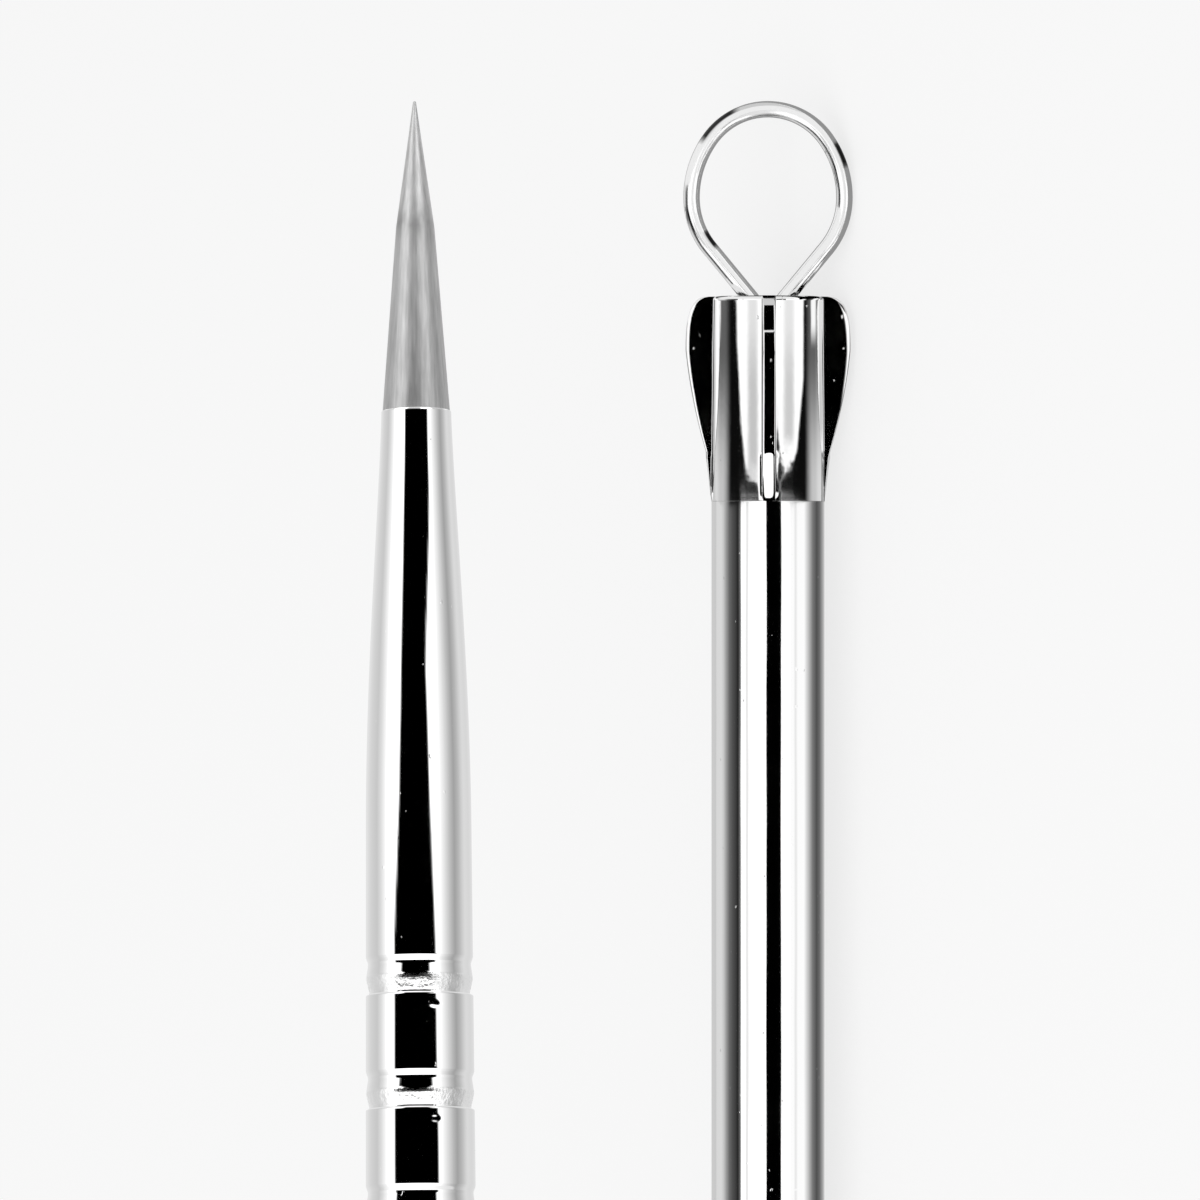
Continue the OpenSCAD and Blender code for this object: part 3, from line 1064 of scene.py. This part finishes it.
# The pitch shortens the copy, and this makes up for it.
grow = Matrix.Scale(1 / math.cos(shot_pitch), 4)
shot_place = Matrix.Translation(tip_target) @ grow @ tilt @ turn_over @ Matrix.Translation(-tip_place)
eye = camera.matrix_world.translation
nearer = Matrix.Translation(eye) @ Matrix.Scale(shot_near, 4) @ Matrix.Translation(-eye)
for piece in (needle, barrel, tube):
    shot = bpy.data.objects.new("shot_" + piece.name, piece.data)
    bpy.context.collection.objects.link(shot)
    shot.matrix_world = nearer @ shot_place
    shot.visible_diffuse = False
    shot.visible_glossy = False
    shot.visible_transmission = False
    shot.visible_shadow = False
    # The copy is smaller, and so are the marks on its surface.
    shot_paint = piece.data.materials[0].copy()
    for node in shot_paint.node_tree.nodes:
        if node.type == "BUMP":
            node.inputs["Distance"].default_value *= shot_near
    shot.material_slots[0].link = "OBJECT"
    shot.material_slots[0].material = shot_paint

# Light shell
# A short round tent of light and dark strips stands round the second shot and shows in its polish.
# The camera looks through it, and it is black outside.
shell_r = 0.012
shell_head = -0.009
shell_foot = 0.02
shell_rows = 50
shell_columns = 240
needle_end = -0.0004
dark_end = 0.0158
beside_dark = 1.6
shell_tip = nearer @ tip_target
shot_up = image_up * math.cos(shot_pitch) - to_camera * math.sin(shot_pitch)
shot_front = to_camera * math.cos(shot_pitch) + image_up * math.sin(shot_pitch)
needle_strips = (
    (-180, 1.2), (-130, 1.2), (-112, 0.7), (-84, 0.7), (-74, 1.95), (-36, 1.95), (-26, 0.5),
    (14, 0.5), (22, 2.5), (48, 2.5), (60, 0.6), (104, 0.5), (122, 1.1), (180, 1.1),
)

# The dark strip's two edges, in degrees from the front, at distances in metres from the needle's tip.
dark_edges = (
    (0.00275, -36, 36),
    (0.0053, -37, 18),
    (0.00815, -40, 25),
    (0.0101, -52, 34),
    (0.013, -53, 38),
)


def barrel_strips(s):
    """Tones round the barrel, (degrees from the front, tone), s metres from the needle's tip."""
    left, right = dark_edges[-1][1:]
    for (low, left_low, right_low), (high, left_high, right_high) in zip(dark_edges, dark_edges[1:]):
        if s <= high:
            part = max(0.0, s - low) / (high - low)
            left = left_low + (left_high - left_low) * part
            right = right_low + (right_high - right_low) * part
            break
    dark = 0.0 if s < dark_end else beside_dark
    return (
        (-180, 0.80), (-150, 0.80), (-125, 0.69), (-101, 0.61), (-89, 0.76), (-77, 1.0), (-70, 1.3),
        (left - 3, beside_dark), (left + 1, dark), (right - 1, dark), (right + 3, 1.5),
        (44, 1.2), (51, 0.98), (61, 0.75), (72, 0.53),
        (83, 0.38), (95, 0.50), (108, 0.68), (116, 0.75), (135, 0.72), (180, 0.8),
    )


def shell_tone(beta, s):
    """Tone of the tent at an angle and a distance from the needle's tip."""
    strips = needle_strips if s < needle_end else barrel_strips(s)
    for (a, tone_a), (b, tone_b) in zip(strips, strips[1:]):
        if beta <= b:
            return tone_a + (tone_b - tone_a) * (beta - a) / (b - a)
    return strips[-1][1]


def shell_point(beta, s):
    """A place on the tent."""
    turn = math.radians(beta)
    return shell_tip - shot_up * s + (shot_front * math.cos(turn) + image_right * math.sin(turn)) * shell_r


points = []
tones = []
for row in range(shell_rows + 1):
    s = shell_head + (shell_foot - shell_head) * row / shell_rows
    for column in range(shell_columns):
        beta = -180 + 360 * column / shell_columns
        points.append(shell_point(beta, s))
        tones.append(shell_tone(beta, s))
faces = []
for row in range(shell_rows):
    for column in range(shell_columns):
        a = row * shell_columns + column
        b = row * shell_columns + (column + 1) % shell_columns
        faces.append((a, b, b + shell_columns, a + shell_columns))
faces.append(tuple(reversed(range(shell_columns))))
faces.append(tuple(range(len(points) - shell_columns, len(points))))
shell_paint = bpy.data.materials.new("light_shell")
shell_paint.use_nodes = True
shell_paint.cycles.emission_sampling = "NONE"
nodes = shell_paint.node_tree.nodes
links = shell_paint.node_tree.links
nodes.clear()
strip_tone = nodes.new("ShaderNodeAttribute")
strip_tone.attribute_name = "tone"
glow = nodes.new("ShaderNodeEmission")
links.new(strip_tone.outputs["Fac"], glow.inputs["Strength"])
dark = nodes.new("ShaderNodeEmission")
dark.inputs["Strength"].default_value = 0
sides = nodes.new("ShaderNodeNewGeometry")
pick = nodes.new("ShaderNodeMixShader")
links.new(sides.outputs["Backfacing"], pick.inputs["Fac"])
links.new(glow.outputs["Emission"], pick.inputs[1])
links.new(dark.outputs["Emission"], pick.inputs[2])
shell_out = nodes.new("ShaderNodeOutputMaterial")
links.new(pick.outputs["Shader"], shell_out.inputs["Surface"])
card("light_shell", points, faces, tones, shell_paint)
